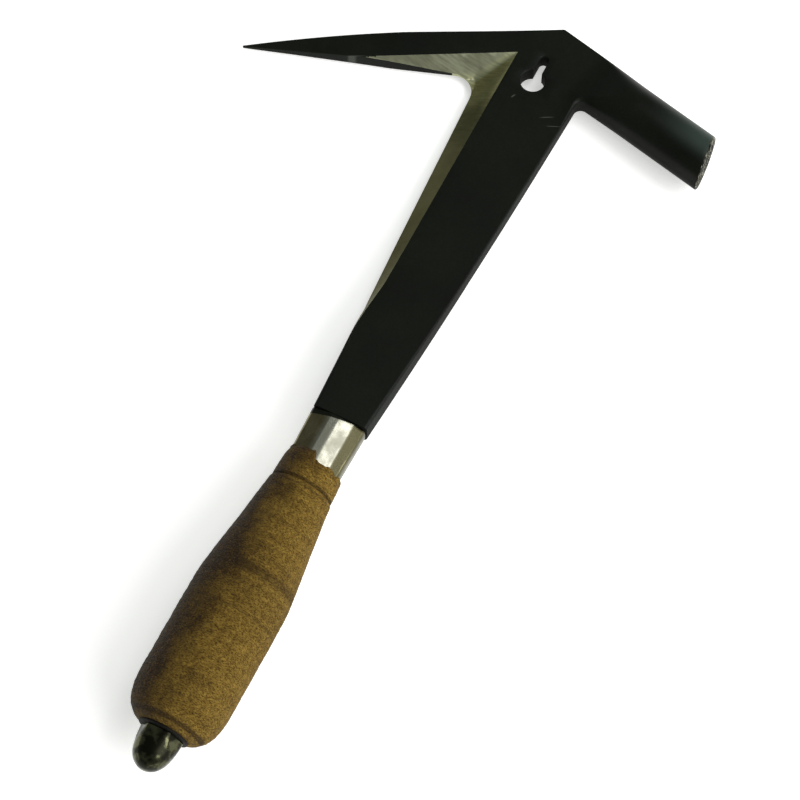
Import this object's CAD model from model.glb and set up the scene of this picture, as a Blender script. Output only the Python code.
import math

import bmesh
import bpy
import numpy as np
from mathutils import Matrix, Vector
from mathutils.geometry import delaunay_2d_cdt


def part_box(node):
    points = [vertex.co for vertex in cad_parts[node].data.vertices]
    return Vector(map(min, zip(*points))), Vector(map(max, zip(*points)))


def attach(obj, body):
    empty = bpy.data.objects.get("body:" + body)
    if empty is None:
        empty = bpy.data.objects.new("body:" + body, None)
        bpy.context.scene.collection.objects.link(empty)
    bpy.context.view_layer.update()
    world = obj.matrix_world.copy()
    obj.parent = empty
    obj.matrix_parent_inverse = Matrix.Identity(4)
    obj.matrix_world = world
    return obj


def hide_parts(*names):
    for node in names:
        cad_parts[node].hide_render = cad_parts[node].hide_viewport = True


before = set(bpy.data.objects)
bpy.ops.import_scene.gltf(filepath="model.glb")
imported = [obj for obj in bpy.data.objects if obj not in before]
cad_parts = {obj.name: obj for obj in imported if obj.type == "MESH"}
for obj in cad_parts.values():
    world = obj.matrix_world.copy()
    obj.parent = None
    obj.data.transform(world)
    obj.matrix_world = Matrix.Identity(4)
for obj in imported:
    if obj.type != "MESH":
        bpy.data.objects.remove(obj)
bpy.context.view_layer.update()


def new_object(name, data):
    """An object in the scene for a mesh, a lamp or a camera."""
    thing = bpy.data.objects.new(name, data)
    bpy.context.scene.collection.objects.link(thing)
    return thing


# ---------------------------------------------------------------------------
# Camera. A long lens looks down on the tool as it lies on its back face, with
# the butt at the lower left and the spike at the upper left of the frame.
# ---------------------------------------------------------------------------
camera_azimuth = math.radians(27.09)
camera_elevation = math.radians(66.0)
camera_distance = 0.9557
camera_target = Vector((0.0157, 0.11325, 0.0))

camera_back = Vector((
    math.sin(camera_azimuth) * math.cos(camera_elevation),
    -math.cos(camera_azimuth) * math.cos(camera_elevation),
    math.sin(camera_elevation),
))
camera_data = bpy.data.cameras.new("camera")
camera_data.lens = 117.0
camera_data.sensor_width = 36.0
camera_data.clip_start = 0.05
camera = new_object("camera", camera_data)
camera.location = camera_target + camera_back * camera_distance
camera.rotation_mode = "QUATERNION"
camera.rotation_quaternion = (-camera_back).to_track_quat("-Z", "Y")
bpy.context.scene.camera = camera


# ---------------------------------------------------------------------------
# Head forging. One steel forging: a spike, a flat web with a keyhole nail
# slot, a round striking poll and a flat blade that thickens towards the
# ferrule. It is painted satin black all over, and the blade's cutting edge and
# the root of the spike are then ground bare from the front.
# ---------------------------------------------------------------------------
MM = 0.001


def ease(t):
    """Smooth step: 0 below 0, 1 above 1 and 3t^2 - 2t^3 between."""
    t = np.clip(t, 0.0, 1.0)
    return t * t * (3.0 - 2.0 * t)


def unit(v):
    """The vector scaled to length one."""
    v = np.asarray(v, float)
    return v / np.linalg.norm(v)


def run(p, q, step):
    """Points from p up to but not at q, in equal steps of about the given length."""
    count = max(1, int(round(np.hypot(*(np.asarray(q) - p)) / step)))
    t = np.arange(count)[:, None] / count
    return np.asarray(p) * (1 - t) + np.asarray(q) * t


def round_corner(corner, a, b, radius, count):
    """A circle's arc that touches the rays from the corner along a and b, from a's side to b's."""
    a, b = unit(a), unit(b)
    half = math.acos(float(a @ b)) / 2
    centre = corner + unit(a + b) * radius / math.sin(half)
    start = corner + a * radius / math.tan(half) - centre
    finish = corner + b * radius / math.tan(half) - centre
    turn = math.atan2(start[0] * finish[1] - start[1] * finish[0], start @ finish)
    angle = math.atan2(start[1], start[0]) + turn * np.linspace(0, 1, count)
    return centre + radius * np.stack([np.cos(angle), np.sin(angle)], 1)


# Sizes in millimetres, from the frame's boxes
low_corner, high_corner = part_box("head_forging")
blade_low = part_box("ferrule")[1].y / MM
top_y = high_corner.y / MM
spike_x = -low_corner.x / MM
face_x = high_corner.x / MM
plate_half = 3.65
shoulder_half = 6.3
shoulder_run = 75.0
edge_round = 0.55
blade_top = top_y - 32.0

poll_r = 10.4
poll_droop = math.radians(13.0)
poll_axis = np.array([math.cos(poll_droop), -math.sin(poll_droop)])
poll_up = np.array([math.sin(poll_droop), math.cos(poll_droop)])
poll_origin = np.array([0.0, top_y + 0.15 - poll_r / math.cos(poll_droop)])
poll_join = 52.0
face_tilt = math.radians(4.0)
face_normal = np.array([math.cos(face_tilt), math.sin(face_tilt)])

top_corner = np.array([1.5, top_y])
tip = np.array([-spike_x, top_y - (1.5 + spike_x) * math.tan(math.radians(29.7))])
spike_low_slope = math.tan(math.radians(19.8))
bevel_x = 10.3
bevel_apex = np.array([-bevel_x, top_y - 17.8])
bevel_line = -np.array([math.cos(math.radians(28.9)), math.sin(math.radians(28.9))])
bevel_run_high = blade_low + 57.0
bevel_run_low = blade_low + 27.0
bevel_full_w = 3.0
edge_land = 0.35


def rise(y):
    """How far up the blade a point is: 0 at the ferrule and 1 at the web."""
    return (y - blade_low) / (blade_top - blade_low)


def cutting_half(y):
    """Distance of the straight cutting edge from the handle's centre line."""
    return 11.7 + 8.2 * rise(y)


def left_half(y):
    """The blade's left side: the cutting edge, and below the ground part a side set in by 1.4."""
    return cutting_half(y) - 1.4 * ease((blade_low + 51.0 - y) / 26.0)


def right_half(y):
    """The blade's blunt right side, slightly bowed and a little fuller at the ferrule."""
    bow = 0.95 * np.sin(np.pi * np.clip(rise(y), 0, 1))
    return 11.0 + 8.8 * rise(y) + bow + 0.5 * np.clip((blade_low + 75.0 - y) / 75.0, 0, 1)


def spike_low(x):
    """The spike's lower edge, a straight line that rises to the tip's height."""
    return tip[1] + (spike_x + x) * spike_low_slope - 0.6 * ease((x + 85.0) / 65.0)


# The outline as two chains of points, with the solid on their left. The first
# climbs the right side and goes out along the poll's lower side.
blade_y = np.linspace(blade_low, blade_top - 10.0, 96)
right_low = np.stack([right_half(blade_y), blade_y], 1)
poll_low_line = poll_origin - poll_up * poll_r
right_lean = unit(right_low[-1] - right_low[-5])
cross = np.linalg.solve(np.stack([right_lean, -poll_axis], 1), poll_low_line - right_low[-1])
right_corner = right_low[-1] + right_lean * cross[0]
right_arc = round_corner(right_corner, -right_lean, poll_axis, 3.0, 12)
right_low = right_low[right_low[:, 1] < right_arc[0, 1] - 0.4]
chain_right = np.concatenate([
    right_low,
    right_arc,
    run(right_arc[-1], poll_low_line + poll_axis * poll_join, 1.3)[1:],
    [poll_low_line + poll_axis * poll_join],
])

# The second comes back along the poll's upper side, round the head's top
# corner, out to the spike's tip, back under the spike and down the cutting edge.
poll_top_line = poll_origin + poll_up * poll_r
tip_top, tip_low = tip + [0.35, 0.33], tip + [0.35, -0.22]
spike_dir = unit(tip_top - top_corner)
spike_length = np.linalg.norm(tip_top - top_corner)
top_arc = round_corner(top_corner, poll_axis, spike_dir, 1.6, 7)
spike_t = np.linspace(np.linalg.norm(top_arc[-1] - top_corner) + 0.8, spike_length, 100)
spike_out = np.array([spike_dir[1], -spike_dir[0]])
spike_top = (
    top_corner + spike_dir * spike_t[:, None]
    + spike_out * 1.95 * np.sin(np.pi * (spike_t / spike_length) ** 1.6)[:, None]
)
tip_arc = tip + np.array([[0.12, 0.2], [0.03, 0.05], [0.12, -0.12]])
low_dir = unit([1.0, spike_low_slope])
left_lean = unit([cutting_half(blade_top) - cutting_half(blade_low), blade_low - blade_top])
left_corner_x = -cutting_half(blade_top + 2.0)
left_corner = np.array([left_corner_x, spike_low(left_corner_x)])
left_arc = round_corner(left_corner, -low_dir, left_lean, 7.0, 22)
under = run(tip_low, left_arc[0], 1.3)
left_y = np.linspace(left_arc[-1, 1] - 0.7, blade_low, 124)
chain_left = np.concatenate([
    run(poll_top_line + poll_axis * poll_join, top_arc[0], 1.3),
    top_arc,
    spike_top,
    tip_arc,
    under,
    left_arc,
    np.stack([-left_half(left_y), left_y], 1),
])


def thickness(p):
    """Half thickness of the unground forging at plan points: the plate, thick at the ferrule, thin at the
    spike's tip, and swelling along the poll to the poll's radius. Returns it with the share of roundness."""
    x, y = p[..., 0], p[..., 1]
    along = (p - poll_origin) @ poll_axis
    beside = np.abs((p - poll_origin) @ poll_up) - poll_r
    round_share = ease((along - 17.0) / 27.0) * (x > 12) * (1 - ease((beside - 0.5) / 6.0))
    flat = plate_half + (shoulder_half - plate_half) * np.clip(1 - (y - blade_low) / shoulder_run, 0, 1)
    flat = np.where(x < -spike_x / 2, 0.6 + (plate_half - 0.6) * (x + spike_x) / (spike_x / 2), flat)
    return flat + (poll_r - flat) * round_share, round_share


def bevel_inner(y):
    """Distance of the ground face's inner line from the centre line: constant, then running out sideways."""
    run_out = np.clip((bevel_run_high - y) / (bevel_run_high - bevel_run_low), 0, 1)
    return bevel_x + (left_half(y) - bevel_x) * run_out ** 1.4


def blade_fall(p):
    """Height of the blade's ground face: it falls evenly from its inner line to the land of the cutting edge,
    and goes less deep where it runs out narrow."""
    x, y = p[..., 0], p[..., 1]
    plain = thickness(p)[0]
    inner = bevel_inner(y)
    width = np.maximum(left_half(y) - inner, 0.05)
    fall = np.clip((-inner - x) / width, -1, 1.2) * np.clip(width / bevel_full_w, 0, 1)
    return np.where(y < bevel_run_low, plain + 1.0, plain - (2 * plain - edge_land) * fall)


def spike_fall(p):
    """Height of the spike's ground face, a plane that falls from the spike's inner line."""
    below = (p - bevel_apex) @ np.array([-bevel_line[1], bevel_line[0]])
    return thickness(p)[0] - (2 * plate_half / 7.0) * below


def ground(p):
    """Height of both ground faces: (a + b + sqrt((a - b)^2 + soft^2)) / 2 is nearly the higher one, so they
    meet in a soft valley, which never cuts through the land."""
    a, b = blade_fall(p), spike_fall(p)
    soft = 0.3 + 0.3 * np.clip(thickness(p)[0] - np.maximum(a, b), 0, 7)
    valley = 0.5 * (a + b + np.sqrt((a - b) ** 2 + soft ** 2)) - 0.05
    return np.maximum(valley, edge_land - thickness(p)[0])


def surface(p):
    """Height of the front face: the plain forging, or the ground faces where they lie lower."""
    return np.minimum(thickness(p)[0], ground(p))


def edge_radius(p, top):
    """Radius of the rounded arris along the outline: small on the plate, growing to the poll's own radius,
    to a broad corner near the ferrule and to nearly nothing on the cutting edge and the spike's tip."""
    x, y = p[:, 0], p[:, 1]
    plain, round_share = thickness(p)
    near = np.clip(1 - (y - blade_low) / shoulder_run, 0, 1)
    r = edge_round + ((1.3 if top else 4.0) - edge_round) * near ** 1.3
    r = r + (poll_r - r) * round_share
    r = np.minimum(r, np.where(x < -60, 0.1 + 0.02 * (x + spike_x), r))
    cut = ease((plain - ground(p)) / 2.5)
    return r * (1 - cut) + 0.12 * cut


# Rings of points step in from the outline: the rounded arris, from the side wall to
# the face, and one ring more on the face itself, which keeps the face's shading flat.
# On the poll they follow the columns of its tube.
ring_count = 14
guard = 0.35
columns = 60
column_angle = 360.0 / columns


def inward_normals(tangent):
    """Unit vectors to the left of a line's tangents, where its solid lies."""
    inward = np.stack([-tangent[:, 1], tangent[:, 0]], 1)
    return inward / np.linalg.norm(inward, axis=1)[:, None]


def rings(chain, top):
    """The arris as rings: d inside the outline, the point is r - sqrt(r^2 - (r - d)^2) under the face."""
    inward = inward_normals(np.gradient(chain, axis=0))
    for end in (0, -1):
        off_axis = chain[end] - poll_origin
        at_poll = abs(off_axis @ poll_axis - poll_join) < 0.01
        inward[end] = -np.sign(off_axis @ poll_up) * poll_up if at_poll else [-np.sign(chain[end, 0]), 0.0]
    radius = edge_radius(chain, top)
    share = thickness(chain)[1]
    k = np.arange(ring_count + 1)[:, None]
    a = np.radians(90.0 * np.minimum(k / (ring_count - 1), 1) * (1 - share) + column_angle * k * share)
    inside = radius * (1 - np.cos(a))
    inside[-1] += guard * (1 - share) * np.clip((chain[:, 0] + spike_x) / 20.0, 0.02, 1)
    turn = np.clip(1 - inside / radius, 0, 1)
    return chain[None] + inward[None] * inside[..., None], radius * (1 - np.sqrt(1 - turn * turn))


def poll_height(p):
    """Height over the poll's root: a round arris that reaches to the poll's own centre line."""
    plain, share = thickness(p)
    r = edge_round + (poll_r - edge_round) * share
    inside = np.clip(r - (poll_r - np.abs((p - poll_origin) @ poll_up)), 0, r)
    return plain - r + np.sqrt(r * r - inside * inside)


def face_height(top):
    """The height function of the front face, or of the plain back."""
    return surface if top else (lambda p: thickness(p)[0])


def arris_rings(top):
    """The rings of both chains on one face: plan points, heights, quads and the innermost points' numbers."""
    plan_r, drop_r = rings(chain_right, top)
    plan_l, drop_l = rings(chain_left, top)
    height = face_height(top)
    count_r, count_l = len(chain_right), len(chain_left)
    points = np.concatenate([plan_r.reshape(-1, 2), plan_l.reshape(-1, 2)])
    z = np.concatenate([(height(plan_r) - drop_r).ravel(), (height(plan_l) - drop_l).ravel()])
    quads = []
    for start, count in ((0, count_r), (plan_r[..., 0].size, count_l)):
        k, i = np.meshgrid(np.arange(ring_count), np.arange(count - 1), indexing="ij")
        a = start + k * count + i
        quads.append(np.stack([a, a + 1, a + count + 1, a + count], -1).reshape(-1, 4))
    inner_r = ring_count * count_r + np.arange(count_r)
    inner_l = plan_r[..., 0].size + ring_count * count_l + np.arange(count_l)
    return points, z, np.concatenate(quads), inner_r, inner_l


nail_centre = np.array([0.5, top_y - 26.7])
nail_r, slot_half, slot_l, rim_r = 4.85, 1.8, 10.2, 0.4


def keyhole():
    """Outline of the nail slot: a round end towards the handle and a narrow end towards the head's top, with
    the solid on its left."""
    throat = math.asin(slot_half / nail_r)
    big = np.linspace(math.pi / 2 - throat, -1.5 * math.pi + throat, 40)
    small = np.linspace(math.pi, 0, 14)
    big_arc = nail_r * np.stack([np.cos(big), np.sin(big)], 1)
    small_arc = slot_half * np.stack([np.cos(small), np.sin(small)], 1) + [0, slot_l]
    left = run(big_arc[-1], small_arc[0], 1.2)[1:]
    right = run(small_arc[-1], big_arc[0], 1.2)[1:]
    return nail_centre + np.concatenate([big_arc, left, small_arc, right])


def keyhole_rim(top):
    """The slot's rounded rim as four rings: plan points and heights, on an arc of 90 degrees."""
    hole = keyhole()
    inward = inward_normals(np.roll(hole, -1, 0) - np.roll(hole, 1, 0))
    a = np.radians([0, 30, 60, 90])[:, None]
    plan = hole[None] + inward[None] * (rim_r * (1 - np.cos(a)))[..., None]
    return plan, face_height(top)(plan) - rim_r * (1 - np.sin(a))


def in_polygon(p, loop):
    """Even-odd test of points against a closed loop, by counting the edges that a ray along +X crosses."""
    a, b = loop, np.roll(loop, -1, 0)
    x, y = p[:, 0][:, None], p[:, 1][:, None]
    spans = (a[None, :, 1] > y) != (b[None, :, 1] > y)
    dy = np.where(b[:, 1] == a[:, 1], 1e-9, b[:, 1] - a[:, 1])
    cross_x = a[None, :, 0] + (y - a[None, :, 1]) / dy * (b[:, 0] - a[:, 0])
    return (np.sum(spans & (cross_x > x), 1) % 2) == 1


def gap_to(p, line):
    """Distance from each point to the nearest point of a line."""
    return np.min(np.hypot(p[:, None, 0] - line[None, :, 0], p[:, None, 1] - line[None, :, 1]), 1)


def plan_grid(x_range, y_range, step, shift):
    """Points of a square grid in the plan, moved a little off round numbers."""
    gx, gy = np.meshgrid(np.arange(*x_range, step), np.arange(*y_range, step), indexing="ij")
    return gx.ravel(), gy.ravel(), np.stack([gx.ravel(), gy.ravel()], 1) + shift


def inside_points(top, border, hole_border):
    """Grid points inside the rings: every 5 mm, every 1 mm at the poll's root and round the ground faces'
    valley, and every 0.5 mm in the valley itself."""
    gx, gy, grid = plan_grid((-spike_x, poll_join + 8), (blade_low, top_y), 1.0, 0.013)
    along = (grid - poll_origin) @ poll_axis
    side = np.abs((grid - poll_origin) @ poll_up)
    poll_zone = (along > 12) & (along < poll_join - 0.6) & (side < poll_r - 0.5)
    coarse = (np.round(gx) % 5 == 0) & (np.round(gy - blade_low) % 5 == 0)
    if top:
        round_valley = (np.abs(grid[:, 0] + 18) < 10) & (grid[:, 1] > top_y - 50) & (grid[:, 1] < top_y - 16)
        fine = plan_grid((-30, -9), (top_y - 48, top_y - 16), 0.5, 0.137)[2]
        fine = fine[np.abs(blade_fall(fine) - spike_fall(fine)) < 2.8]
        grid = np.concatenate([grid[poll_zone | round_valley | coarse], fine])
    else:
        grid = grid[poll_zone | coarse]
    inside = in_polygon(grid, border) & ~in_polygon(grid, hole_border)
    return grid[inside & (gap_to(grid, border) > 0.45) & (gap_to(grid, hole_border) > 0.5)]


def crease_line():
    """The inner line of the ground faces: from the cutting edge in to the blade's line, up to its apex, then
    out along the spike to where it meets the spike's lower edge."""
    y = bevel_run_low + (bevel_run_high - bevel_run_low) * np.linspace(0.0, 1.0, 22)
    lower = np.stack([-bevel_inner(y), y], 1)
    upper = run(lower[-1], bevel_apex, 3.0)[1:]
    out = run(bevel_apex, bevel_apex + bevel_line * 120, 1.5)
    out = out[out[:, 1] > spike_low(out[:, 0]) + 0.55]
    meet = out[-1] + bevel_line * 1.0
    return np.concatenate([lower, upper, out, [meet]])


def build_face(top):
    """One face of the forging: the arris rings, the keyhole's rim and between them a triangulated grid, with
    the ground faces' inner line among its edges."""
    points, z, quads, inner_r, inner_l = arris_rings(top)
    hole_plan, hole_z = keyhole_rim(top)
    start, n = len(points), hole_plan.shape[1]
    k, i = np.meshgrid(np.arange(3), np.arange(n), indexing="ij")
    j = (i + 1) % n
    rim_quads = np.stack([k * n + i, k * n + j, (k + 1) * n + j, (k + 1) * n + i], -1).reshape(-1, 4)
    quads = np.concatenate([quads, start + rim_quads])
    points = np.concatenate([points, hole_plan.reshape(-1, 2)])
    z = np.concatenate([z, hole_z.ravel()])
    inner_h = start + 3 * n + np.arange(n)

    # The border's edges. The poll's end has one point more, on the poll's centre line
    loop = np.concatenate([inner_r, inner_l])
    border, hole_border = points[loop], points[inner_h]
    cut = len(inner_r) - 1
    extra = len(loop) + n
    edges = [(i, (i + 1) % len(loop)) for i in range(len(loop)) if i != cut]
    edges += [(cut, extra), (extra, cut + 1)]
    edges += [(len(loop) + i, len(loop) + (i + 1) % n) for i in range(n)]
    lines = [np.array([poll_origin + poll_axis * poll_join])]

    grid = inside_points(top, border, hole_border)
    if top:
        crease = crease_line()
        ends = [int(np.argmin(np.hypot(*(border - crease[e]).T))) for e in (0, -1)]
        middle = crease[1:-1]
        middle = middle[(gap_to(middle, border) > 0.6) & in_polygon(middle, border)]
        lines.append(middle)
        ids = [ends[0]] + list(range(extra + 1, extra + 1 + len(middle))) + [ends[1]]
        edges += list(zip(ids[:-1], ids[1:]))
        grid = grid[gap_to(grid, middle) > 0.4]
    flat = np.concatenate([border, hole_border] + lines + [grid])
    out, _, tris, orig, _, _ = delaunay_2d_cdt([Vector(p) for p in flat], edges, [], 1, 1e-5)
    out = np.array([tuple(v) for v in out])
    tris = np.array([t for t in tris if len(t) == 3])
    tris = tris[~in_polygon(out[tris].mean(1), hole_border)]

    # The border's points are already there, so only the others are added
    known = np.concatenate([loop, inner_h])
    source = np.array([min(o) if o else -1 for o in orig])
    old = (source >= 0) & (source < len(known))
    index = np.full(len(out), -1)
    index[old] = known[source[old]]
    index[~old] = len(points) + np.arange((~old).sum())
    added = out[~old]
    added_z = np.minimum(
        face_height(top)(added), np.where(thickness(added)[1] > 0.001, poll_height(added), 99.0))
    points = np.concatenate([points, added])
    z = np.concatenate([z, added_z])
    count_r, count_l = len(inner_r), len(inner_l)
    outline = {"right": (0, count_r), "left": (count_r * (ring_count + 1), count_l), "hole": (start, n)}
    return points, z, quads, index[tris], outline


def poll_tube():
    """The poll as rows of circles, at (u along its axis, r cos a, r sin a), from its root to the chamfer of
    the oblique striking face."""
    a = np.radians(column_angle) * np.arange(columns)
    ring = np.cos(a)[:, None] * poll_up
    slant = (ring @ face_normal) / (poll_axis @ face_normal)
    across_reach = poll_r / (poll_axis @ face_normal)
    face_u = (face_x - math.sin(face_tilt) * across_reach - poll_origin[0]) / poll_axis[0]
    rows = np.linspace(0, 1, 16)[:, None]
    chamfer = np.array([[0.0, 0.7], [0.08, 0.4], [0.3, 0.15], [0.6, 0.0]])
    radius = np.concatenate([np.full(15, poll_r), poll_r - chamfer[:, 0]])[:, None]
    ends = face_u - slant * (poll_r - chamfer[:, :1]) - chamfer[:, 1:]
    u = np.concatenate([poll_join + (ends[0] - poll_join) * rows[:-1], ends])
    plan = poll_origin + poll_axis * u[..., None] + ring[None] * radius[..., None]
    height = np.broadcast_to(np.sin(a) * radius, u.shape)
    k, i = np.meshgrid(np.arange(len(u) - 1), np.arange(columns), indexing="ij")
    j = (i + 1) % columns
    near, far = k * columns, (k + 1) * columns
    quads = np.stack([near + i, far + i, far + j, near + j], -1).reshape(-1, 4)
    return np.concatenate([plan, height[..., None]], 2).reshape(-1, 3), quads


milling_pitch = 1.75
milling_depth = 0.42
face_bulge = 0.6


def striking_face(rim):
    """The striking face inside its rim: a fine grid in its own plane, cut by a net of slanting grooves that
    are worn shallow in places, on a low dome that falls with the square of the distance from the middle."""
    normal = np.array([*face_normal, 0.0])
    across = np.array([-face_normal[1], face_normal[0], 0.0])
    centre = rim.mean(0)
    flat_rim = np.stack([(rim - centre) @ across, rim[:, 2] - centre[2]], 1)
    grid = plan_grid((-11, 11), (-11, 11), 0.36, 0.0)[2]
    grid = grid[in_polygon(grid, flat_rim)]
    gap = gap_to(grid, flat_rim)
    grid, gap = grid[gap > 0.3], gap[gap > 0.3]
    p, q = (grid[:, 0] + grid[:, 1]) / milling_pitch, (grid[:, 0] - grid[:, 1]) / milling_pitch
    groove = np.maximum(np.abs(p - np.round(p)), np.abs(q - np.round(q)))
    wear = 0.5 + 0.5 * np.sin(grid[:, 0] * 0.9 + 1.0) * np.sin(grid[:, 1] * 0.7 + 2.0)
    depth = milling_depth * ease((groove - 0.22) / 0.2) * ease(gap / 0.9) * (0.55 + 0.45 * wear)
    bulge = face_bulge * (1 - (grid ** 2).sum(1) / (poll_r - 0.6) ** 2)
    deep = np.concatenate([np.zeros(columns), depth - bulge * ease(gap / 1.5)])
    points = np.concatenate([flat_rim, grid])
    rim_edges = [(i, (i + 1) % columns) for i in range(columns)]
    _, _, cells, orig, _, _ = delaunay_2d_cdt([Vector(v) for v in points], rim_edges, [], 1, 1e-5)
    order = np.array([o[0] for o in orig])
    points, deep = points[order], deep[order]
    face = centre + across * points[:, :1] + np.array([0, 0, 1.0]) * points[:, 1:] - normal * deep[:, None]
    return face, np.array([c for c in cells if len(c) == 3])


def closed_bar(half_w, half_t, corner, y0, y1):
    """A bar of rounded section along the handle, closed at both ends: verts, side quads and end triangles."""
    b = np.radians(np.arange(0, 360, 7.5))
    sx = np.cos(b) * corner + np.sign(np.cos(b)) * (half_w - corner)
    sz = np.sin(b) * corner + np.sign(np.sin(b)) * (half_t - corner)
    m = len(b)
    i = np.arange(m)
    j = (i + 1) % m
    rings_of_bar = [np.stack([sx, np.full(m, y), sz], 1) for y in (y0, y1)]
    bar = np.concatenate([*rings_of_bar, [[0, y0, 0], [0, y1, 0]]])
    low_end = np.stack([np.full(m, 2 * m), j, i], 1)
    high_end = np.stack([np.full(m, 2 * m + 1), i + m, j + m], 1)
    return bar, np.stack([i, j, j + m, i + m], 1), np.concatenate([low_end, high_end])


def build_forging():
    """The closed forging: front and back faces, side walls, the round poll with its striking face, and the
    bars hidden in the handle: the neck in the ferrule, the tang in the leather and the threaded stud."""
    front, front_z, front_q, front_t, outline = build_face(True)
    back, back_z, back_q, back_t, outline_b = build_face(False)
    shift = len(front)
    verts = np.concatenate([np.column_stack([front, front_z]), np.column_stack([back, -back_z])])
    faces = [front_q, back_q[:, ::-1] + shift]
    tris = [front_t, back_t[:, ::-1] + shift]
    for name, closed in (("right", False), ("left", False), ("hole", True)):
        start, count = outline[name]
        start_b = outline_b[name][0] + shift
        i = np.arange(count if closed else count - 1)
        j = (i + 1) % count
        faces.append(np.stack([start_b + i, start_b + j, start + j, start + i], 1))

    tube, tube_quads = poll_tube()
    faces.append(tube_quads + len(verts))
    verts = np.concatenate([verts, tube])
    milled, milled_tris = striking_face(tube[-columns:])
    tris.append(milled_tris + len(verts))
    verts = np.concatenate([verts, milled])

    leather_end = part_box("leather_disc_01")[0].y / MM
    stud_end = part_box("butt_washer")[0].y / MM - 9.0
    for half_w, half_t, corner, y0, y1 in (
        (9.0, 5.2, 4.5, blade_low - 22.0, blade_low + 0.3),
        (5.0, 5.0, 5.0, leather_end, blade_low - 21.0),
        (4.0, 4.0, 4.0, stud_end, leather_end + 0.3),
    ):
        bar, bar_quads, bar_tris = closed_bar(half_w, half_t, corner, y0, y1)
        faces.append(bar_quads + len(verts))
        tris.append(bar_tris + len(verts))
        verts = np.concatenate([verts, bar])
    return verts, np.concatenate(faces), np.concatenate(tris)


def close_shell(mesh, merge):
    """Merges doubled points, closes what is left open and turns the faces outward."""
    bm = bmesh.new()
    bm.from_mesh(mesh)
    bmesh.ops.remove_doubles(bm, verts=bm.verts, dist=merge)
    bmesh.ops.holes_fill(bm, edges=[e for e in bm.edges if e.is_boundary], sides=0)
    bmesh.ops.recalc_face_normals(bm, faces=bm.faces)
    bm.to_mesh(mesh)
    bm.free()
    mesh.shade_smooth()


def read_rows(items, name):
    """One vector of every vertex or polygon, as rows."""
    values = np.empty(len(items) * 3)
    items.foreach_get(name, values)
    return values.reshape(-1, 3)


verts, quads, tris = build_forging()
forging_mesh = bpy.data.meshes.new("forging")
forging_mesh.from_pydata((verts * MM).tolist(), [], quads.tolist() + tris.tolist())
close_shell(forging_mesh, 2e-6)
forging_mesh.set_sharp_from_angle(angle=math.radians(29))

# Which of the two ground faces lies higher at each point, and by how much
forging_points = read_rows(forging_mesh.vertices, "co") / MM
plan = forging_points[:, :2]
face_gap = np.where(plan[:, 1] > bevel_run_low, blade_fall(plan) - spike_fall(plan), 9.0)
gap_layer = forging_mesh.attributes.new("face_gap", "FLOAT", "POINT")
gap_layer.data.foreach_set("value", face_gap.astype(np.float32))

# Which faces are bare: the ground ones, the round corner between them, and the striking face
corner_x, corner_half_x, corner_half_y = -24.0, 5.5, 7.5
struck_band, struck_x = 1.2, 73.0
middle = read_rows(forging_mesh.polygons, "center") / MM
normals = read_rows(forging_mesh.polygons, "normal")
lowered = ground(middle[:, :2]) < thickness(middle[:, :2])[0] - 0.02
bare = lowered & (normals[:, 2] > 0.3) & (middle[:, 0] < -9)
in_corner = (np.abs(middle[:, 0] - corner_x) < corner_half_x) & (
    np.abs(middle[:, 1] - left_arc[:, 1].mean()) < corner_half_y)
bare |= (normals[:, 2] > -0.6) & in_corner
striking = np.array([*face_normal, 0.0])
struck = (middle @ striking > (face_x - struck_band) * face_normal[0]) & (
    normals @ striking > 0.3) & (middle[:, 0] > struck_x)
finish_index = np.where(bare, 1, np.where(struck, 2, 0)).astype(np.int32)
forging_mesh.polygons.foreach_set("material_index", finish_index)


def new_material(name, slots):
    """A material with a Principled shader whose constant sockets are set from the given names and values."""
    material = bpy.data.materials.new(name)
    material.use_nodes = True
    shader = material.node_tree.nodes["Principled BSDF"]
    for key, value in slots.items():
        shader.inputs[key].default_value = value
    return material, material.node_tree, shader


def add(tree, kind, inputs=None, **settings):
    """A node of the given kind, with its settings, its input values and its links made."""
    node = tree.nodes.new(kind)
    for key, value in settings.items():
        setattr(node, key, value)
    for key, value in (inputs or {}).items():
        if isinstance(value, bpy.types.NodeSocket):
            tree.links.new(value, node.inputs[key])
        else:
            node.inputs[key].default_value = value
    return node


def object_place(tree):
    """Object coordinates, on which every pattern is laid out."""
    return add(tree, "ShaderNodeTexCoord").outputs["Object"]


def axis(tree, vector, name):
    """One component of a vector."""
    return add(tree, "ShaderNodeSeparateXYZ", {0: vector}).outputs[name]


def math_node(tree, operation, *values):
    """The result of a Math node on up to three values."""
    return add(tree, "ShaderNodeMath", dict(enumerate(values)), operation=operation).outputs[0]


def remap(tree, value, low=0.0, high=1.0, to_low=0.0, to_high=1.0, smooth=False):
    """A value carried from one span to another and clamped, straight or with a smooth step."""
    return add(tree, "ShaderNodeMapRange", {
        "Value": value, "From Min": low, "From Max": high, "To Min": to_low, "To Max": to_high},
        interpolation_type="SMOOTHSTEP" if smooth else "LINEAR").outputs[0]


def mix(tree, share, first, second, blend="MIX"):
    """The first colour with the given share of the second mixed in, or multiplied in."""
    first, second = ((*c, 1) if isinstance(c, tuple) else c for c in (first, second))
    return add(tree, "ShaderNodeMix", {0: share, 6: first, 7: second},
               data_type="RGBA", blend_type=blend).outputs[2]


def noise(tree, vector, scale, detail, roughness=0.5):
    """Smooth noise from 0 to 1."""
    return add(tree, "ShaderNodeTexNoise", {
        "Vector": vector, "Scale": scale, "Detail": detail, "Roughness": roughness}).outputs["Fac"]


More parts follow.
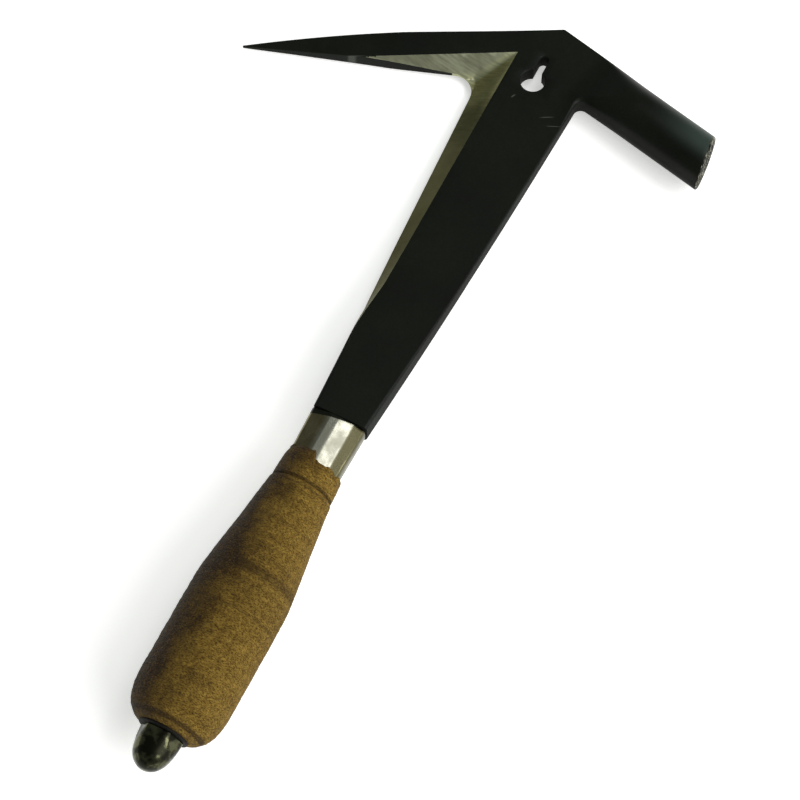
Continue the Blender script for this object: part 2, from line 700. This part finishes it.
def finish(tree, shader, colour, roughness, relief=None, strength=0.0, distance=0.0):
    """Feeds a colour, a roughness and a fine relief that change over the surface into the shader."""
    tree.links.new(colour, shader.inputs["Base Color"])
    tree.links.new(roughness, shader.inputs["Roughness"])
    if relief is not None:
        bump = add(tree, "ShaderNodeBump", {"Height": relief, "Strength": strength, "Distance": distance})
        tree.links.new(bump.outputs[0], shader.inputs["Normal"])


def new_group(name, inputs, outputs):
    """An empty node group with named sockets: (name, type, value) for inputs and (name, type) for outputs."""
    group = bpy.data.node_groups.new(name, "ShaderNodeTree")
    for label, kind, value in inputs:
        item = group.interface.new_socket(label, in_out="INPUT", socket_type=kind)
        if value is not None:
            item.default_value = value
    for label, kind in outputs:
        group.interface.new_socket(label, in_out="OUTPUT", socket_type=kind)
    return group, group.nodes.new("NodeGroupInput"), group.nodes.new("NodeGroupOutput")


FLOAT, COLOUR, VECTOR = "NodeSocketFloat", "NodeSocketColor", "NodeSocketVector"

# Mottle: two colours mixed by noise, with the noise put out too for bump and roughness
mottle, g_in, g_out = new_group(
    "mottle",
    [("Vector", VECTOR, None), ("Scale", FLOAT, 100.0), ("Detail", FLOAT, 4.0), ("Low", FLOAT, 0.35),
     ("High", FLOAT, 0.65), ("Dark", COLOUR, (0, 0, 0, 1)), ("Light", COLOUR, (1, 1, 1, 1))],
    [("Color", COLOUR), ("Value", FLOAT)],
)
g_noise = noise(mottle, g_in.outputs["Vector"], g_in.outputs["Scale"], g_in.outputs["Detail"], 0.6)
g_range = remap(mottle, g_noise, g_in.outputs["Low"], g_in.outputs["High"], smooth=True)
g_mix = mix(mottle, g_range, g_in.outputs["Dark"], g_in.outputs["Light"])
mottle.links.new(g_mix, g_out.inputs["Color"])
mottle.links.new(g_range, g_out.inputs["Value"])

# Scratch: a mask that is 1 on one short thin line at a place and an angle in the plan
scratch, g_in, g_out = new_group(
    "scratch",
    [("Vector", VECTOR, None), ("Place", VECTOR, (0, 0, 0)), ("Turn", VECTOR, (0, 0, 0)),
     ("Half Length", FLOAT, 0.004), ("Half Width", FLOAT, 0.0002)],
    [("Value", FLOAT)],
)
g_map = add(scratch, "ShaderNodeMapping", {
    "Vector": g_in.outputs["Vector"], "Location": g_in.outputs["Place"], "Rotation": g_in.outputs["Turn"]},
    vector_type="TEXTURE").outputs[0]
g_length = math_node(scratch, "ABSOLUTE", axis(scratch, g_map, "X"))
g_width = math_node(scratch, "ABSOLUTE", axis(scratch, g_map, "Y"))
g_end = remap(scratch, g_length, g_in.outputs["Half Length"], 0.0)
g_side = remap(scratch, g_width, g_in.outputs["Half Width"], 0.0)
g_both = math_node(scratch, "MULTIPLY", g_end, g_side)
g_gain = add(scratch, "ShaderNodeMath", {0: g_both, 1: 2.5}, operation="MULTIPLY", use_clamp=True)
scratch.links.new(g_gain.outputs[0], g_out.inputs["Value"])


def mottled(tree, vector, scale, detail, low, high, dark=(0, 0, 0), light=(1, 1, 1)):
    """The mottle group in a material: its colour, and its value from 0 to 1."""
    node = add(tree, "ShaderNodeGroup", {
        "Vector": vector, "Scale": scale, "Detail": detail, "Low": low, "High": high,
        "Dark": (*dark, 1), "Light": (*light, 1)}, node_tree=mottle)
    return node.outputs["Color"], node.outputs["Value"]


def scratched(tree, vector, spot, turn, half_length, half_width):
    """The scratch group in a material: its mask."""
    return add(tree, "ShaderNodeGroup", {
        "Vector": vector, "Place": spot, "Turn": (0, 0, turn), "Half Length": half_length,
        "Half Width": half_width}, node_tree=scratch).outputs["Value"]


# Black paint over the forging: satin, faintly green, bluer on the poll's upper side near the
# striking face, and dull on the side walls, where the scale of the forge shows through
paint, tree, shader = new_material("black_paint", {"Specular IOR Level": 0.11, "IOR": 1.5})
place = object_place(tree)
cloud, cloud_value = mottled(
    tree, place, 28.0, 5.0, 0.36, 0.66, (0.0040, 0.0047, 0.0030), (0.0064, 0.0080, 0.0050))
grain, _ = mottled(tree, place, 1500.0, 3.0, 0.3, 0.75, (0.75, 0.75, 0.75), (1.3, 1.3, 1.3))
tone = mix(tree, 0.6, cloud, grain, "MULTIPLY")
marks = [scratched(tree, place, *scrape) for scrape in (
    ((0.0125, 0.2435, 0), 0.50, 0.0030, 0.00022),
    ((0.0165, 0.2410, 0), 0.42, 0.0032, 0.00018),
    ((-0.0032, 0.2462, 0), 1.10, 0.0012, 0.00035),
    ((-0.0700, 0.2330, 0), 0.42, 0.0105, 0.00016),
    ((-0.0610, 0.2345, 0), 0.30, 0.0060, 0.00014),
)]
all_marks = marks[0]
for mark in marks[1:]:
    all_marks = math_node(tree, "MAXIMUM", all_marks, mark)
blue_end = remap(tree, axis(tree, place, "X"), 0.045, 0.074, smooth=True)
poll_rise = add(
    tree, "ShaderNodeVectorMath", {0: place, 1: (*poll_up, 0)}, operation="DOT_PRODUCT").outputs["Value"]
poll_middle = poll_origin @ poll_up
upper = remap(tree, poll_rise, (poll_middle - 6.0) * MM, (poll_middle + 2.0) * MM, smooth=True)
cool = mix(tree, math_node(tree, "MULTIPLY", blue_end, upper), tone, (0.031, 0.044, 0.036))
marked = mix(tree, all_marks, cool, (0.055, 0.06, 0.05))
sheen = remap(tree, cloud_value, to_low=0.40, to_high=0.32)
flatness = math_node(tree, "ABSOLUTE", axis(tree, add(tree, "ShaderNodeNewGeometry").outputs["Normal"], "Z"))
wall = remap(tree, flatness, 0.5, 0.1, to_high=0.75)
dulled = add(tree, "ShaderNodeMix", {0: wall, 2: sheen, 3: 0.85}, data_type="FLOAT").outputs[0]
finish(tree, shader, marked, dulled, noise(tree, place, 420.0, 4.0, 0.55), 0.12, 0.0003)

# Ground steel: bare and brushed by the wheel, darker and browner down the blade, brighter on the spike's
# root and in the valley between the two faces
bare_steel, tree, shader = new_material(
    "ground_steel", {"Metallic": 1.0, "Specular Tint": (0.80, 0.79, 0.64, 1)})
place = object_place(tree)
height_gap = add(tree, "ShaderNodeAttribute", attribute_name="face_gap").outputs["Fac"]
on_spike = remap(tree, height_gap, 0.6, -3.2, smooth=True)
brushed = add(tree, "ShaderNodeMapping", {
    "Vector": place, "Rotation": (0, 0, math.radians(35)), "Scale": (60, 1400, 300)}).outputs[0]
streaks = noise(tree, brushed, 1.0, 3.0)
uneven, _ = mottled(tree, place, 70.0, 3.0, 0.35, 0.65, (0.8, 0.8, 0.78), (1.1, 1.1, 1.1))
up_blade = remap(tree, axis(tree, place, "Y"), 0.17, 0.245)
at_top = remap(tree, axis(tree, place, "Y"), 0.232, 0.249, smooth=True)
blade_side = mix(tree, up_blade, (0.013, 0.012, 0.005), (0.100, 0.098, 0.052))
blade_side = mix(tree, at_top, blade_side, (0.42, 0.405, 0.21))
both_sides = mix(tree, on_spike, blade_side, (0.325, 0.33, 0.225))
in_valley = remap(tree, math_node(tree, "ABSOLUTE", height_gap), 3.2, 0.2, to_high=0.85, smooth=True)
both_sides = mix(tree, in_valley, both_sides, (0.44, 0.45, 0.28))
lines = remap(tree, streaks, 0.3, 0.7, 0.82, 1.15)
toned = mix(tree, 1.0, mix(tree, 1.0, both_sides, uneven, "MULTIPLY"), lines, "MULTIPLY")
finish(tree, shader, toned, remap(tree, streaks, to_low=0.32, to_high=0.5), streaks, 0.15, 0.0002)

# Striking face: bare and milled, worn light on the ridges
struck_steel, tree, shader = new_material("struck_steel", {"Metallic": 1.0})
worn, worn_value = mottled(
    tree, object_place(tree), 650.0, 4.0, 0.46, 0.66, (0.012, 0.012, 0.010), (0.27, 0.26, 0.20))
finish(tree, shader, worn, remap(tree, worn_value, to_low=0.6, to_high=0.38))

for material in (paint, bare_steel, struck_steel):
    forging_mesh.materials.append(material)
forging = new_object("forging", forging_mesh)
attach(forging, "root")
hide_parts("head_forging")


# ---------------------------------------------------------------------------
# Ferrule. A bright steel sleeve of oval section, drawn over the blade's neck.
# It widens a little towards the blade, where the black paint laps on to it, and
# its leather end runs under the collar.
# ---------------------------------------------------------------------------
ferrule_low, ferrule_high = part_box("ferrule")
ferrule_back, ferrule_front = ferrule_low.y / MM, ferrule_high.y / MM
ferrule_half_w, ferrule_half_t = ferrule_high.x / MM, ferrule_high.z / MM
oval_power = 2.9
bore_half_w, bore_half_t = 9.1, 5.3


def value_noise(p, cell, seed):
    """Smooth random values from 0 to 1: a random number at each corner of a cubic lattice of the given cell,
    mixed between the corners with smooth steps."""
    table = np.random.default_rng(seed).random(8192)
    q = np.asarray(p) / cell
    base = np.floor(q).astype(np.int64)
    f = q - base
    f = f * f * (3 - 2 * f)
    total = np.zeros(q.shape[:-1])
    for corner in np.ndindex(2, 2, 2):
        a, b, c = (base[..., k] + corner[k] for k in range(3))
        key = (a * 73856093) ^ (b * 19349663) ^ (c * 83492791)
        u, v, w = (np.abs(1 - corner[k] - f[..., k]) for k in range(3))
        total += u * v * w * table[key & 8191]
    return total


def oval(theta, half_w, half_t):
    """Distance from the centre to a rounded oval at an angle from +Z: |x/w|^n + |z/t|^n = 1."""
    n = oval_power
    return (np.abs(np.sin(theta) / half_w) ** n + np.abs(np.cos(theta) / half_t) ** n) ** (-1 / n)


def turns(count):
    """Equal angles once round the handle, as one row."""
    return np.linspace(0, 2 * np.pi, count, endpoint=False)[None]


def lathe(theta, y, radius, closed_rows=False):
    """Verts and quads of a grid of rows along the handle by columns round it, at (r sin t, y, r cos t)."""
    t = np.broadcast_to(theta, radius.shape)
    points = np.stack([radius * np.sin(t), np.broadcast_to(y, radius.shape), radius * np.cos(t)], -1)
    rows, across = radius.shape
    k, i = np.meshgrid(np.arange(rows if closed_rows else rows - 1), np.arange(across), indexing="ij")
    j, m = (i + 1) % across, (k + 1) % rows
    quads = np.stack([k * across + i, m * across + i, m * across + j, k * across + j], -1)
    return points.reshape(-1, 3), quads.reshape(-1, 4)


def soft_least(a, b, soft):
    """The smaller of two values, rounded where they meet: (a + b - sqrt((a - b)^2 + soft)) / 2."""
    return 0.5 * (a + b - np.sqrt((a - b) * (a - b) + soft))


def add_piece(name, points, faces, material, node, sharp=40.0):
    """A mesh object from points in millimetres, which rides on the tool and stands for one CAD node."""
    mesh = bpy.data.meshes.new(name)
    mesh.from_pydata((points * MM).tolist(), [], faces.tolist())
    close_shell(mesh, 1e-6)
    mesh.set_sharp_from_angle(angle=math.radians(sharp))
    mesh.materials.append(material)
    piece = new_object(name, mesh)
    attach(piece, "root")
    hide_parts(node)


theta = turns(192)
length = ferrule_front - ferrule_back
rim_low, rim_high = np.array([0.0, 0.12, 0.4]), np.array([length - 0.25, length - 0.08, length])
outer_y = np.concatenate([rim_low, np.linspace(0.8, length - 0.5, 26), rim_high])
outer_drop = np.concatenate([[0.4, 0.15, 0.0], np.zeros(26), [0.06, 0.2, 0.42]])
share = outer_y[:, None] / length
outer_r = oval(theta, ferrule_half_w - 0.55 + 0.5 * share, ferrule_half_t - 0.3 + 0.25 * share)
for tilt, flat_distance in ((-14.0, 6.90), (2.0, 6.34), (9.0, 6.35), (24.0, 7.50)):
    lean = theta - math.radians(tilt)
    facet_r = (flat_distance - 0.12 + 0.12 * share) / np.maximum(np.cos(lean), 0.2)
    outer_r = soft_least(outer_r, facet_r, 0.0012)
outer_r = outer_r - outer_drop[:, None]
outer_p = np.stack([outer_r * np.sin(theta), outer_y[:, None] + 0 * outer_r, outer_r * np.cos(theta)], -1)
outer_r = outer_r + 0.05 * (value_noise(outer_p, 2.6, 4) - 1.0) * ease(outer_y[:, None] / 1.5)
inner_r = np.repeat(oval(theta, bore_half_w, bore_half_t), 2, 0)
sleeve_y = ferrule_back + np.concatenate([outer_y, [length, 0.0]])[:, None]
ferrule_points, ferrule_faces = lathe(theta, sleeve_y, np.concatenate([outer_r, inner_r]), True)

# Drawn steel: brown on the left facet, bright in the middle, dark on the right, with fine lines
# along the sleeve and a slanting edge where the paint begins
ferrule_steel, tree, shader = new_material("ferrule_steel", {"Specular IOR Level": 0.11})
place = object_place(tree)
tarnish, tarnish_value = mottled(tree, place, 180.0, 5.0, 0.35, 0.7, (0.72, 0.72, 0.68), (1.05, 1.05, 1.05))
across = axis(tree, place, "X")
to_middle = remap(tree, across, -0.0048, -0.0022, smooth=True)
to_right = remap(tree, across, 0.0056, 0.0070, smooth=True)
hand_wear = mix(tree, to_middle, (0.19, 0.165, 0.095), (0.35, 0.345, 0.29))
hand_wear = mix(tree, to_right, hand_wear, (0.125, 0.115, 0.065))
tarnished = mix(tree, 1.0, hand_wear, tarnish, "MULTIPLY")
drawn = add(tree, "ShaderNodeMapping", {"Vector": place, "Scale": (1500, 60, 1500)}).outputs[0]
drawn_lines = noise(tree, drawn, 1.0, 3.0)
toned = mix(tree, 1.0, tarnished, remap(tree, drawn_lines, to_low=0.85, to_high=1.1), "MULTIPLY")
paint_slant, paint_ragged = -0.155, 0.0003
paint_start, paint_full = 0.09375, 0.09395
paint_edge = math_node(tree, "MULTIPLY_ADD", across, paint_slant, axis(tree, place, "Y"))
paint_edge = math_node(tree, "MULTIPLY_ADD", noise(tree, place, 900.0, 2.0), paint_ragged, paint_edge)
paint_lap = remap(tree, paint_edge, paint_start, paint_full)
toned = mix(tree, paint_lap, toned, (0.0052, 0.0062, 0.0040))
tree.links.new(math_node(tree, "SUBTRACT", 1.0, paint_lap), shader.inputs["Metallic"])
finish(tree, shader, toned, remap(tree, tarnish_value, to_low=0.32, to_high=0.22), drawn_lines, 0.1, 0.0001)
add_piece("ferrule_sleeve", ferrule_points, ferrule_faces, ferrule_steel, "ferrule")


# ---------------------------------------------------------------------------
# Leather discs. Twenty-eight thick leather rings are threaded on the tang,
# pressed together and turned to the grip's shape. The rims are worn fibrous and
# stained by the hand, and the front ring, which laps the ferrule, is torn back
# on the right.
# ---------------------------------------------------------------------------
disc_names = sorted(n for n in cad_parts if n.startswith("leather_disc_"))
leather_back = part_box(disc_names[0])[0].y / MM
leather_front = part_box(disc_names[-1])[1].y / MM
disc_t = (leather_front - leather_back) / len(disc_names)
belly_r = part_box(disc_names[8])[1].x / MM - 0.12
tang_bore_r = 5.05

# The turned profile, as (place along the handle, radius): butt, belly, neck, groove and collar
profile_y, profile_r = np.array([
    (-36.6, 9.6), (-36.2, 11.2), (-35.4, 12.8), (-34.4, 13.8), (-32.6, 15.6), (-29.5, 16.9),
    (-26.0, 17.65), (-22.0, 18.0), (-17.0, belly_r), (0.0, belly_r), (19.0, belly_r), (24.0, 17.75),
    (33.0, 16.5), (43.0, 15.1), (52.0, 13.95), (60.0, 12.95), (64.2, 12.45), (64.9, 11.9),
    (65.8, 12.1), (69.5, 12.05), (73.0, 11.85), (75.5, 11.5), (77.3, 10.95), (78.6, 10.3),
]).T


def grip_radius(theta, y):
    """The turned profile, with lumps, fibres and crumbs of value noise at three sizes, and a few pits."""
    base = np.interp(y, profile_y, profile_r)
    p = np.stack([base * np.sin(theta), y + 0 * theta, base * np.cos(theta)], -1)
    rough_zone = 0.45 + 0.55 * ease((34.0 - y) / 20.0)
    lumps = 0.22 * (value_noise(p, 6.5, 11) - 0.55)
    fibres = 0.20 * (value_noise(p, 1.25, 12) - 0.7) * rough_zone
    crumbs = 0.09 * (value_noise(p, 0.62, 13) - 0.7)
    pits = np.zeros_like(base + theta)
    for pit_t, pit_y, width, depth in (
        (28, -30.2, 1.0, 0.8), (-22, 27.0, 1.8, 0.35), (8, 12.0, 1.2, 0.3),
        (40, 3.0, 1.0, 0.3), (-15, -6.0, 1.4, 0.3), (18, 75.4, 0.9, 1.2),
    ):
        dt = (theta - math.radians(pit_t) + np.pi) % (2 * np.pi) - np.pi
        pits = pits - depth * np.exp(-((dt * base) ** 2 + (y - pit_y) ** 2) / width ** 2)
    return base + lumps + fibres + crumbs + pits


# Leather: tan with flecks, umber with grime towards the left, banded by the discs' seams
leather, tree, shader = new_material("leather", {"Specular IOR Level": 0.12})
place = object_place(tree)
wound = add(tree, "ShaderNodeMapping", {"Vector": place, "Scale": (0.8, 1.9, 0.8)}).outputs[0]
tan, _ = mottled(tree, wound, 1500.0, 6.0, 0.35, 0.65, (0.074, 0.041, 0.006), (0.315, 0.200, 0.038))
umber, _ = mottled(tree, wound, 1300.0, 6.0, 0.38, 0.66, (0.011, 0.006, 0.0015), (0.082, 0.043, 0.006))
clumps, _ = mottled(tree, place, 430.0, 4.0, 0.36, 0.62, (0.76, 0.73, 0.68), (1.08, 1.08, 1.08))
_, fleck = mottled(tree, place, 1700.0, 2.0, 0.57, 0.70)
_, stain = mottled(tree, place, 62.0, 4.0, 0.30, 0.70)
left_side = remap(tree, axis(tree, place, "X"), 0.012, -0.015, -0.05, 1.0)
grime = remap(tree, math_node(tree, "MULTIPLY_ADD", stain, 0.5, left_side), 0.35, 1.15, smooth=True)
along = add(tree, "ShaderNodeCombineXYZ", {"Y": axis(tree, place, "Y")}).outputs[0]
disc_tone, _ = mottled(tree, along, 420.0, 3.0, 0.3, 0.7, (0.74, 0.72, 0.68), (1.1, 1.1, 1.1))
body = mix(tree, grime, tan, umber)
body = mix(tree, 0.8, body, disc_tone, "MULTIPLY")
body = mix(tree, 0.9, body, clumps, "MULTIPLY")
for spot, half_width, strength in (
    (0.0200, 0.0160, 0.13), (0.0654, 0.00075, 0.60), (0.0630, 0.0005, 0.35), (0.0258, 0.0022, 0.42),
    (0.0310, 0.0010, 0.22), (0.0100, 0.0009, 0.20), (-0.0344, 0.0009, 0.70),
):
    band = scratched(tree, place, (0, spot, 0), 0.0, 0.09, half_width)
    body = mix(tree, math_node(tree, "MULTIPLY", band, strength), body, (0.020, 0.012, 0.004))
body = mix(tree, math_node(tree, "MULTIPLY", fleck, 0.55), body, (0.25, 0.125, 0.022))
nap = noise(tree, place, 1150.0, 5.0, 0.75)
finish(tree, shader, body, remap(tree, grime, to_low=0.85, to_high=0.62), nap, 0.9, 0.0012)


def torn_front(theta):
    """The front ring's edge: torn back on the right, ragged all round, with two deeper notches."""
    degrees = np.degrees((theta + np.pi) % (2 * np.pi) - np.pi)
    torn = ease((degrees + 2.0) / 9.0) * ease((150.0 - degrees) / 40.0)
    ragged = value_noise(np.stack([theta * 12.0, 0 * theta, 0 * theta], -1), 1.6, 21) - 0.5
    notches = 1.0 * np.exp(-((degrees - 58.0) / 9.0) ** 2) + 0.7 * np.exp(-((degrees - 17.0) / 4.0) ** 2)
    return leather_front + 1.0 - 3.6 * torn + 0.9 * ragged - notches


theta = turns(300)
seam_depth = 0.05 + 0.10 * np.random.default_rng(5).random(len(disc_names) + 1)
seam_depth[1] = 0.25
seam_depth[25] = 0.40
seam_width = 0.28
share = np.array([0.0, 0.05, 0.16, 0.3, 0.45, 0.6, 0.75, 0.87, 0.96, 1.0])[:, None]
for index, node in enumerate(disc_names):
    y0 = leather_back + index * disc_t
    last = node == disc_names[-1]
    front = torn_front(theta) if last else np.full_like(theta, y0 + disc_t)
    y = y0 + (front - y0) * share
    edge = (share if last else np.minimum(share, 1 - share)) * disc_t
    depth = np.where(share < 0.5, seam_depth[index], seam_depth[index + 1])
    radius = grip_radius(np.broadcast_to(theta, y.shape), y) - depth * np.exp(-(edge / seam_width) ** 2)
    if last:
        lip = oval(theta, ferrule_half_w - 0.3, ferrule_half_t - 0.1)
        radius = radius - 0.8 * ease((share - 0.72) / 0.28)
        radius = np.concatenate([radius, lip + 0.25, lip - 0.1])
        y = np.concatenate([y, front + 0.05, np.full_like(theta, y0 + 0.02)])
    else:
        bore_rows = np.full_like(theta, tang_bore_r)
        radius = np.concatenate([radius, bore_rows, bore_rows])
        y = np.concatenate([y, front, np.full_like(theta, y0)])
    points, faces = lathe(theta, y, radius, True)
    add_piece(node.replace("leather_disc", "leather_ring"), points, faces, leather, node, 60.0)


# ---------------------------------------------------------------------------
# Butt washer. A thin blackened steel ring between the last disc and the nut,
# slightly dished, with a rounded rim.
# ---------------------------------------------------------------------------
washer_low, washer_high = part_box("butt_washer")
washer_back, washer_t, washer_r = washer_low.y / MM, (washer_high.y - washer_low.y) / MM, washer_high.x / MM
stud_bore_r = 4.05
washer_section = np.array([
    (stud_bore_r, 0.02), (stud_bore_r, 0.98), (washer_r - 0.5, 0.98), (washer_r - 0.15, 0.9), (washer_r, 0.7),
    (washer_r - 0.05, 0.35), (washer_r - 0.3, 0.12), (washer_r - 0.8, 0.0), (6.5, 0.06),
])
theta = turns(128)
washer_y = washer_back + washer_section[:, 1:] * washer_t
washer_points, washer_faces = lathe(theta, washer_y, np.repeat(washer_section[:, :1], 128, 1), True)
washer_steel, tree, shader = new_material("washer_steel", {"Specular IOR Level": 0.15})
rust, rust_value = mottled(
    tree, object_place(tree), 600.0, 4.0, 0.4, 0.7, (0.004, 0.004, 0.003), (0.014, 0.011, 0.007))
finish(tree, shader, rust, remap(tree, rust_value, to_low=0.6, to_high=0.8))
add_piece("washer_ring", washer_points, washer_faces, washer_steel, "butt_washer")


# ---------------------------------------------------------------------------
# Cap nut. A closed nut, dark chromed: six flats, worn nearly round, under a
# dome that tapers to a blunt round end. It is screwed on the tang's stud.
# ---------------------------------------------------------------------------
nut_low, nut_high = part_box("cap_nut")
nut_tip, nut_seat, nut_r = nut_low.y / MM, nut_high.y / MM, nut_high.x / MM
nut_length = nut_seat - nut_tip
nut_turn = math.radians(-4.0)
nut_columns = 180
base_length = 4.4
stud_bore_depth = 10.0
theta = turns(nut_columns)
flat_angle = (theta - nut_turn + math.radians(30)) % math.radians(60) - math.radians(30)
hex_radius = (nut_r - 0.3) * math.cos(math.radians(30)) / np.cos(flat_angle)
dome_turn = np.linspace(0, 1, 34)[1:] * np.pi / 2
nut_y = np.concatenate([
    [0.0, 0.25, 0.6, 1.0], np.linspace(1.4, base_length, 10),
    base_length + (nut_length - base_length) * np.sin(dome_turn)])
drop = np.clip((nut_y - 3.0) / (nut_length - 3.0), 0, 1)
dome_r = (8.5 - 0.9 * np.clip(nut_y / 6.5, 0, 1)) * (1 - drop ** 2.5) ** 0.52
seat_r = 8.15 + np.clip(nut_y, 0, 3) * 1.1
turned_r = np.minimum(dome_r, seat_r)[:, None]
nut_radius = np.maximum(soft_least(hex_radius, turned_r, 0.05), 0.0) * (drop[:, None] < 1)
outer_points, outer_faces = lathe(theta, nut_seat - nut_y[:, None], nut_radius)
bore = np.repeat(np.array([[stud_bore_r], [stud_bore_r], [0.0]]), nut_columns, 1)
bore_y = nut_seat - np.array([0.0, stud_bore_depth, stud_bore_depth])[:, None]
inner_points, inner_faces = lathe(theta, bore_y, bore)
i = np.arange(nut_columns)
j = (i + 1) % nut_columns
seat = np.stack([i, j, len(outer_points) + j, len(outer_points) + i], 1)
nut_points = np.concatenate([outer_points, inner_points])
nut_faces = np.concatenate([outer_faces, inner_faces[:, ::-1] + len(outer_points), seat])
nut_steel, tree, shader = new_material("nut_steel", {"Metallic": 1.0})
place = object_place(tree)
film, film_value = mottled(tree, place, 190.0, 4.0, 0.42, 0.60, (0.014, 0.014, 0.009), (0.082, 0.082, 0.045))
dents = noise(tree, place, 320.0, 3.0)
finish(tree, shader, film, remap(tree, film_value, to_low=0.34, to_high=0.16), dents, 0.25, 0.0003)
add_piece("acorn_nut", nut_points, nut_faces, nut_steel, "cap_nut")


# ---------------------------------------------------------------------------
# Studio. A plain pale floor in the plane on which the tool really rests, on its
# grip, its poll and its spike, with soft lights from above and from the right.
# ---------------------------------------------------------------------------
grip_rest, poll_rest = (0.0, 20.0, -18.2), (48.0, 256.0, -10.4)
spike_rest = (-spike_x / 2, 240.0, -plate_half)
rest_points = np.array([grip_rest, poll_rest, spike_rest])
slope = np.linalg.solve(np.column_stack([rest_points[:, :2], np.ones(3)]), rest_points[:, 2])
clearance = forging_points[:, 2] - forging_points[:, :2] @ slope[:2] - slope[2]
slope[2] += min(0.0, float(clearance.min()))
slope[2] *= MM
reach = 12.0
floor_gap = 0.0004
floor_xy = np.array([[-reach, -reach], [reach, -reach], [reach, reach], [-reach, reach]])
floor_z = floor_xy @ slope[:2] + slope[2] - floor_gap
floor_mesh = bpy.data.meshes.new("floor")
floor_mesh.from_pydata(np.column_stack([floor_xy, floor_z]).tolist(), [], [(0, 1, 2, 3)])
floor = new_object("floor", floor_mesh)
pale, tree, shader = new_material("pale_floor", {
    "Base Color": (0.88, 0.88, 0.87, 1), "Roughness": 0.9, "Specular IOR Level": 0.1,
    "Emission Color": (1.0, 1.0, 0.98, 1), "Emission Strength": 0.5})
floor_mesh.materials.append(pale)

world = bpy.data.worlds.new("studio")
world.use_nodes = True
world.node_tree.nodes["Background"].inputs["Color"].default_value = (0.93, 1.0, 0.95, 1)
world.node_tree.nodes["Background"].inputs["Strength"].default_value = 0.24
bpy.context.scene.world = world


def add_lamp(name, kind, energy, location, spot):
    """A lamp that shines from a place at a spot, and its data for what is particular to its kind."""
    data = bpy.data.lights.new(name, kind)
    data.energy = energy
    lamp = new_object(name, data)
    lamp.location = location
    lamp.rotation_mode = "QUATERNION"
    lamp.rotation_quaternion = (Vector(spot) - lamp.location).to_track_quat("-Z", "Y")
    return data


sun_data = add_lamp("sun", "SUN", 2.7, (1.6, -0.1, 1.0), (0, 0, 0))
sun_data.angle = math.radians(50)
key_data = add_lamp("key", "AREA", 7.5, (0.42, 0.66, 1.42), (0, 0.1, 0))
key_data.shape = "RECTANGLE"
key_data.size, key_data.size_y = 0.62, 0.9

bpy.context.scene.view_settings.view_transform = "Standard"
